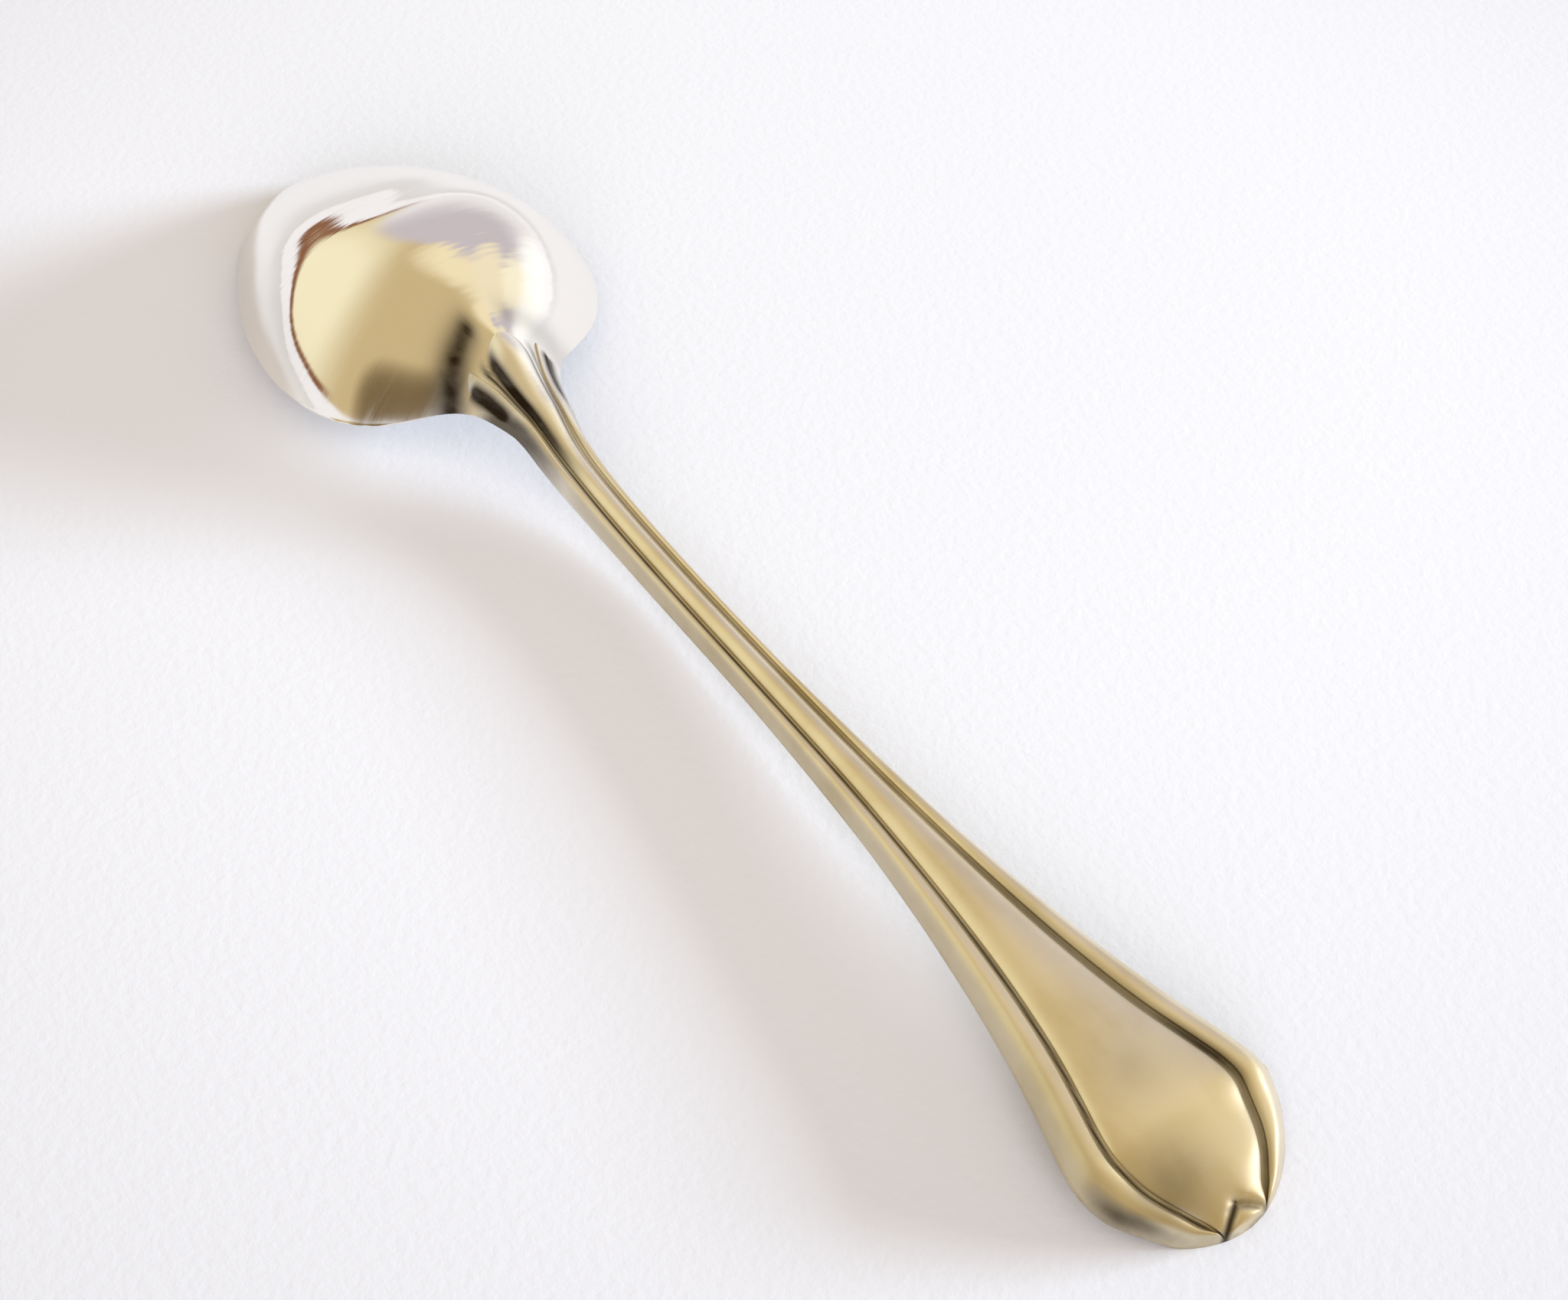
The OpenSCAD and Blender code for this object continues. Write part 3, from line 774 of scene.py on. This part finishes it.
def silver_plate(name, worn, gloss, streak_mm, streak_h, wave_h, scuffs):
    """Electroplated silver: fine polishing streaks, a faint waviness and, where it is handled, two worn tones.

    gloss is the two places between which the roughness changes, and its values there. streak_mm is how long the
    streaks are along and across the spoon, and streak_h and wave_h are heights, all in millimetres.
    """
    material, tree = new_material(name)
    place = add(tree, "ShaderNodeTexCoord").outputs["Object"]

    # The tarnish and the painted shade aren't equally dark all over: they are thinned in spots of a few millimetres
    patchy = add(tree, "ShaderNodeMapRange", {
        "Value": grain(tree, place, (5, 2, 2), 3.0), "From Min": 0.3, "From Max": 0.6, "To Min": 0.88,
    }, interpolation_type="SMOOTHSTEP")
    tarnish_and_shade = add(tree, "ShaderNodeAttribute", attribute_name="tarnish_and_shade").outputs["Fac"]
    dark = add(tree, "ShaderNodeMath", {0: tarnish_and_shade, 1: patchy}, operation="MULTIPLY")

    silver = WHITE_SILVER
    if worn:
        # Patches where the plate is thinner, half a centimetre across and drawn out along the spoon
        mottle = add(tree, "ShaderNodeMapRange", {
            "Value": grain(tree, place, (8, 5, 5), 4.0), "From Min": 0.4, "From Max": 0.72,
        }, interpolation_type="SMOOTHSTEP")
        tones = add(tree, "ShaderNodeMix", {"Factor": mottle, "A": worn[0], "B": worn[1]}, data_type="RGBA")
        handled = along(tree, place, WORN_FROM_X, WORN_TO_X, 0.0, 1.0)
        silver = add(tree, "ShaderNodeMix", {"Factor": handled, "A": silver, "B": tones}, data_type="RGBA")
    colour = add(tree, "ShaderNodeMix", {"Factor": dark, "A": silver, "B": TARNISH_AND_SHADE}, data_type="RGBA")

    # The wheel's streaks run across the spoon; they are drawn about twice as coarse as the real ones
    streaks = grain(tree, place, (streak_mm[0], streak_mm[1], streak_mm[1]), 3.0, 0.55)
    streak_rough = add(tree, "ShaderNodeMapRange", {
        "Value": streaks, "From Min": 0.45, "From Max": 0.8, "To Max": STREAK_ROUGH,
    }, interpolation_type="SMOOTHSTEP")
    dark_rough = add(tree, "ShaderNodeMath", {0: dark, 1: TARNISH_ROUGH}, operation="MULTIPLY")
    rough = add(tree, "ShaderNodeMath", {0: along(tree, place, *gloss), 1: streak_rough}, operation="ADD")
    rough = add(tree, "ShaderNodeMath", {0: rough, 1: dark_rough}, operation="ADD")

    scuffed = add(tree, "ShaderNodeMath", {
        0: grain(tree, place, scuffs["marks"], 2.0, 0.5),
        1: spot(tree, place, scuffs["centre"], scuffs["even"], scuffs["gone"]),
    }, operation="MULTIPLY")
    # Waves about a centimetre long, left by hand polishing
    waves = grain(tree, place, (8, 11, 11), 1.0)
    bumps = add(tree, "ShaderNodeBump", {"Height": scuffed, "Distance": scuffs["depth"] * MM, "Strength": 1.0})
    for marks, depth in ((streaks, streak_h), (waves, wave_h)):
        bumps = add(tree, "ShaderNodeBump", {
            "Height": marks, "Distance": depth * MM, "Strength": 1.0, "Normal": bumps,
        })
    shader = add(tree, "ShaderNodeBsdfPrincipled", {
        "Base Color": colour, "Metallic": 1.0, "Roughness": rough, "Normal": bumps,
    })
    add(tree, "ShaderNodeOutputMaterial", {"Surface": shader})
    return material


# Where the plate was rubbed hardest, with the marks' lengths along each axis: across the dome beside the neck, and
# in small nicks across the neck itself
DOME_SCUFFS = {"centre": (33.5, 3, 11.5), "even": 3, "gone": 10, "marks": (1.8, 8, 8), "depth": 0.13}
NECK_NICKS = {"centre": (47, 0, 6), "even": 3, "gone": 9, "marks": (0.35, 2.5, 2.5), "depth": 0.025}

plates = {
    # Mirror finish on the bowl, almost white, growing softer towards the neck where the wheel cannot reach
    "bowl_plate": silver_plate(
        "bright_silver_plate", None, (30, 41, 0.04, 0.12), (0.5, 7), 0.004, 0.05, DOME_SCUFFS,
    ),
    # The shaft and the handle are handled most: soft gloss and the warm tone of worn plate
    "handle_plate": silver_plate(
        "rubbed_silver_plate", ("#ECE2C9", "#D6C8A6"), (41, 80, 0.15, 0.38), (0.4, 5), 0.001, 0.02, NECK_NICKS,
    ),
    # The raised work catches the most rubbing, so it is a shade paler
    "raised_plate": silver_plate(
        "worn_silver_plate", ("#F1E7CE", "#E3D6B6"), (43, 70, 0.4, 0.37), (0.4, 5), 0.001, 0.02, NECK_NICKS,
    ),
}
slots = {"bowl": "bowl_plate", "neck": "handle_plate", "stem": "handle_plate", "blade": "handle_plate"}
for node, piece in pieces.items():
    slot = slots.get(node, "raised_plate")
    piece.data.materials.clear()
    piece.data.materials.append(plates[slot])
    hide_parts(node)
    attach(piece, "root")


def white_paper():
    """Plain uncoated paper: matt, with a faint tooth."""
    material, tree = new_material("white_paper")
    place = add(tree, "ShaderNodeTexCoord").outputs["Object"]
    # The tooth of real paper is far finer than this, and wouldn't show
    tooth = grain(tree, place, (0.9, 0.9, 0.9), 3.0, 0.6)
    bumps = add(tree, "ShaderNodeBump", {"Height": tooth, "Distance": 0.03 * MM, "Strength": 1.0})
    # The sheet is a little darker towards its edges, where less of the light reaches it
    lit = spot(tree, place, (40, 30, 0), 50, 150)
    shade = add(tree, "ShaderNodeMix", {"Factor": lit, "A": "#EAE9EB", "B": "#FBFAFC"}, data_type="RGBA")
    shader = add(tree, "ShaderNodeBsdfPrincipled", {"Base Color": shade, "Roughness": 0.9, "Normal": bumps})
    add(tree, "ShaderNodeOutputMaterial", {"Surface": shader})
    return material


# Width of the sheet that the spoon lies on, in metres
SHEET_W = 1.2
bpy.ops.object.select_all(action="DESELECT")
bpy.ops.mesh.primitive_plane_add(size=SHEET_W, location=(0, 0, 0))
paper = bpy.context.object
paper.name = "paper"
paper.data.materials.append(white_paper())


def heading(azimuth, elevation):
    """The direction from the spoon towards an azimuth and an elevation in degrees."""
    a, e = math.radians(azimuth), math.radians(elevation)
    return Vector((math.cos(e) * math.cos(a), math.cos(e) * math.sin(a), math.sin(e)))


def zone(tree, direction, azimuth, elevation, even, gone):
    """1 within an angle of a heading, falling softly to 0 at a wider one."""
    near = add(tree, "ShaderNodeVectorMath", {
        0: direction, 1: heading(azimuth, elevation),
    }, operation="DOT_PRODUCT")
    return add(tree, "ShaderNodeMapRange", {
        "Value": near, "From Min": math.cos(math.radians(gone)), "From Max": math.cos(math.radians(even)),
    }, interpolation_type="SMOOTHSTEP")


# The room that the silver mirrors, under a tan ceiling. An area has the azimuth and elevation of its middle, the
# angles from there at which it starts to fade and is gone, and its colour. Each is laid over those before it
CEILING = "#CDB78A"
# Cream walls, and a dim corner behind the camera
WALLS = [
    (-145, 15, 28, 60, "#F9F0CE"),
    (90, 38, 16, 48, "#F6E9C6"),
    (118, 62, 6, 26, "#F6E6C0"),
    (-60, 9, 2, 19, "#7A6646"),
]
# A brown line along the foot of the wall beyond the bowl
BROWN_LINE, BROWN = (-152, 5, 52, 64), "#8A5A3C"
# A cool screen beside the window, greyer higher up
SCREEN, SCREEN_FOOT, SCREEN_HEAD = (128, 22, 32, 40), "#F0EDF0", "#CAC2C9"
# Pale areas over the window, a bright strip at its foot, and the opening that throws the light, with what both add
PALE_AREAS = [(94, 49, 5, 18, "#F5E8CA"), (84, 26, 4, 16, "#FFF6DC")]
STRIP, STRIP_COLOUR, STRIP_GLOW = (92, 3, 6, 24), "#FFFFFC", 0.15
OPENING, OPENING_COLOUR, OPENING_GLOW = (60, 9, 11, 22), "#FFFFFF", 2.0
# Below the horizon the silver mirrors more of the paper
FAR_PAPER = "#F7F5F8"
# Heights, as sines of elevations, over which the brown line starts, the screen turns grey and the paper starts
BROWN_TOP, SCREEN_RISE, HORIZON = (0.12, 0.09), (0.08, 0.5), (0.075, 0.06)
# The room is lit warmly and the window coolly, so the shadows are warm
ROOM_LIGHT = "#FFF5E8"
AMBIENT = 0.6


def studio():
    """White for the camera, plain warm light for the paper, and the room for what the silver mirrors."""
    world = bpy.data.worlds.new("studio")
    bpy.context.scene.world = world
    world.use_nodes = True
    tree = world.node_tree
    tree.nodes.clear()
    direction = add(tree, "ShaderNodeTexCoord").outputs["Generated"]
    height = add(tree, "ShaderNodeSeparateXYZ", {"Vector": direction}).outputs["Z"]
    near_foot, up_screen, below = [
        add(tree, "ShaderNodeMapRange", {
            "Value": height, "From Min": start, "From Max": end,
        }, interpolation_type="SMOOTHSTEP")
        for start, end in (BROWN_TOP, SCREEN_RISE, HORIZON)
    ]
    line = add(tree, "ShaderNodeMath", {
        0: near_foot, 1: zone(tree, direction, *BROWN_LINE),
    }, operation="MULTIPLY")
    screen = add(tree, "ShaderNodeMix", {
        "Factor": up_screen, "A": SCREEN_FOOT, "B": SCREEN_HEAD,
    }, data_type="RGBA")
    strip = zone(tree, direction, *STRIP)
    opening = zone(tree, direction, *OPENING)

    layers = [(zone(tree, direction, *area), colour) for *area, colour in WALLS]
    layers += [(line, BROWN), (zone(tree, direction, *SCREEN), screen)]
    layers += [(zone(tree, direction, *area), colour) for *area, colour in PALE_AREAS]
    layers += [(strip, STRIP_COLOUR), (opening, OPENING_COLOUR), (below, FAR_PAPER)]
    room = CEILING
    for factor, colour in layers:
        room = add(tree, "ShaderNodeMix", {"Factor": factor, "A": room, "B": colour}, data_type="RGBA")
    glow = add(tree, "ShaderNodeMath", {0: strip, 1: STRIP_GLOW, 2: 1.0}, operation="MULTIPLY_ADD")
    glow = add(tree, "ShaderNodeMath", {0: opening, 1: OPENING_GLOW, 2: glow}, operation="MULTIPLY_ADD")

    path = add(tree, "ShaderNodeLightPath")
    plain = add(tree, "ShaderNodeBackground", {"Color": ROOM_LIGHT, "Strength": AMBIENT})
    mirrored = add(tree, "ShaderNodeBackground", {"Color": room, "Strength": glow})
    white = add(tree, "ShaderNodeBackground", {"Color": "#FFFFFF", "Strength": 1.0})
    shiny = add(tree, "ShaderNodeMixShader", {0: path.outputs["Is Glossy Ray"], 1: plain, 2: mirrored})
    seen = add(tree, "ShaderNodeMixShader", {0: path.outputs["Is Camera Ray"], 1: shiny, 2: white})
    add(tree, "ShaderNodeOutputWorld", {"Surface": seen})


studio()

# Distance of the lights from the spoon, in metres
LIGHT_AWAY = 2


def soft_light(name, azimuth, elevation, size, power, colour):
    """A soft rectangular light that faces the spoon. The silver mirrors the drawn room, and not the light."""
    lamp = bpy.data.lights.new(name, "AREA")
    lamp.shape = "RECTANGLE"
    lamp.size, lamp.size_y = size
    lamp.energy = power
    lamp.color = linear(colour)[:3]
    holder = bpy.data.objects.new(name, lamp)
    bpy.context.scene.collection.objects.link(holder)
    holder.location = heading(azimuth, elevation) * LIGHT_AWAY
    holder.rotation_euler = (-holder.location).to_track_quat("-Z", "Y").to_euler()
    holder.visible_glossy = False


# A low window to one side, which throws the long soft shadow
soft_light("low_window", 64, 11, (0.82, 0.28), 76, "#D6EAFF")
# Daylight that comes back from the other side of the room and fills the shadow beside the handle
soft_light("room_fill", -24, 20, (2.3, 1.1), 25, "#F4F2FF")

# Camera at the photograph's place: the point it looks at, its direction and distance from there, and its roll
TARGET = Vector((8.355, 4.281, 0)) * MM
AWAY = heading(-35.244, 49.65)
DISTANCE = 182.74 * MM
ROLL = math.radians(-0.24)
LENS, SENSOR_W = 51.265, 36
right = (-AWAY).cross(Vector((0, 0, 1))).normalized()
up = right.cross(-AWAY)
right, up = (
    math.cos(ROLL) * right + math.sin(ROLL) * up,
    math.cos(ROLL) * up - math.sin(ROLL) * right,
)
camera_data = bpy.data.cameras.new("camera")
camera_data.lens = LENS
camera_data.sensor_width = SENSOR_W
camera_data.clip_start = 0.01
camera = bpy.data.objects.new("camera", camera_data)
turn = Matrix((right, up, AWAY)).transposed().to_4x4()
camera.matrix_world = Matrix.Translation(TARGET + DISTANCE * AWAY) @ turn
bpy.context.scene.collection.objects.link(camera)
bpy.context.scene.camera = camera
bpy.context.scene.view_settings.view_transform = "Standard"
